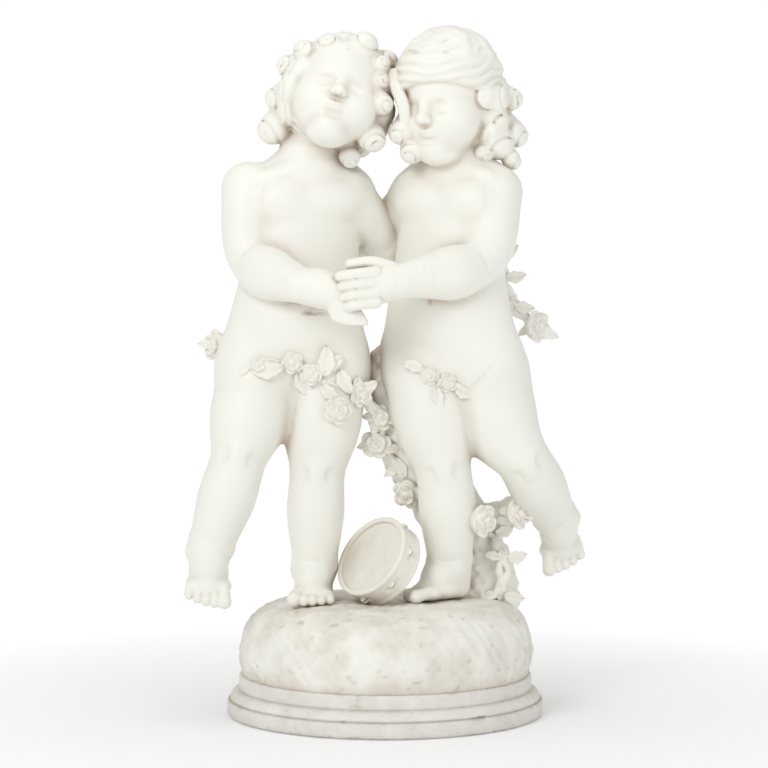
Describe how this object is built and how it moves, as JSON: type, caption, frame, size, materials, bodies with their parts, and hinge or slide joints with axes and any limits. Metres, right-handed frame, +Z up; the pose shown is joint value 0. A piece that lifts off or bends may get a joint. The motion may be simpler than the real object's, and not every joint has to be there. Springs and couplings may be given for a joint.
{
  "type": "classical marble statue",
  "caption": "Carved marble group of dancing children with clasped hands, garland and tambourine, standing on a mound over a round moulded plinth.",
  "frame": {"origin": "centre of the round plinth's underside", "axes": "+Z up, the children face -Y, +X to the viewer's right, azimuth 0 looks along +Y"},
  "size_m": [0.5546, 0.438, 0.9475],
  "materials": {
    "figure_marble": "satin carved white marble with beige dust in the hollows",
    "plinth_marble": "weathered matte white marble with worn edges"
  },
  "bodies": {
    "root": {"figure_group": "figure_marble", "moulded_plinth": "plinth_marble"}
  },
  "joints": []
}
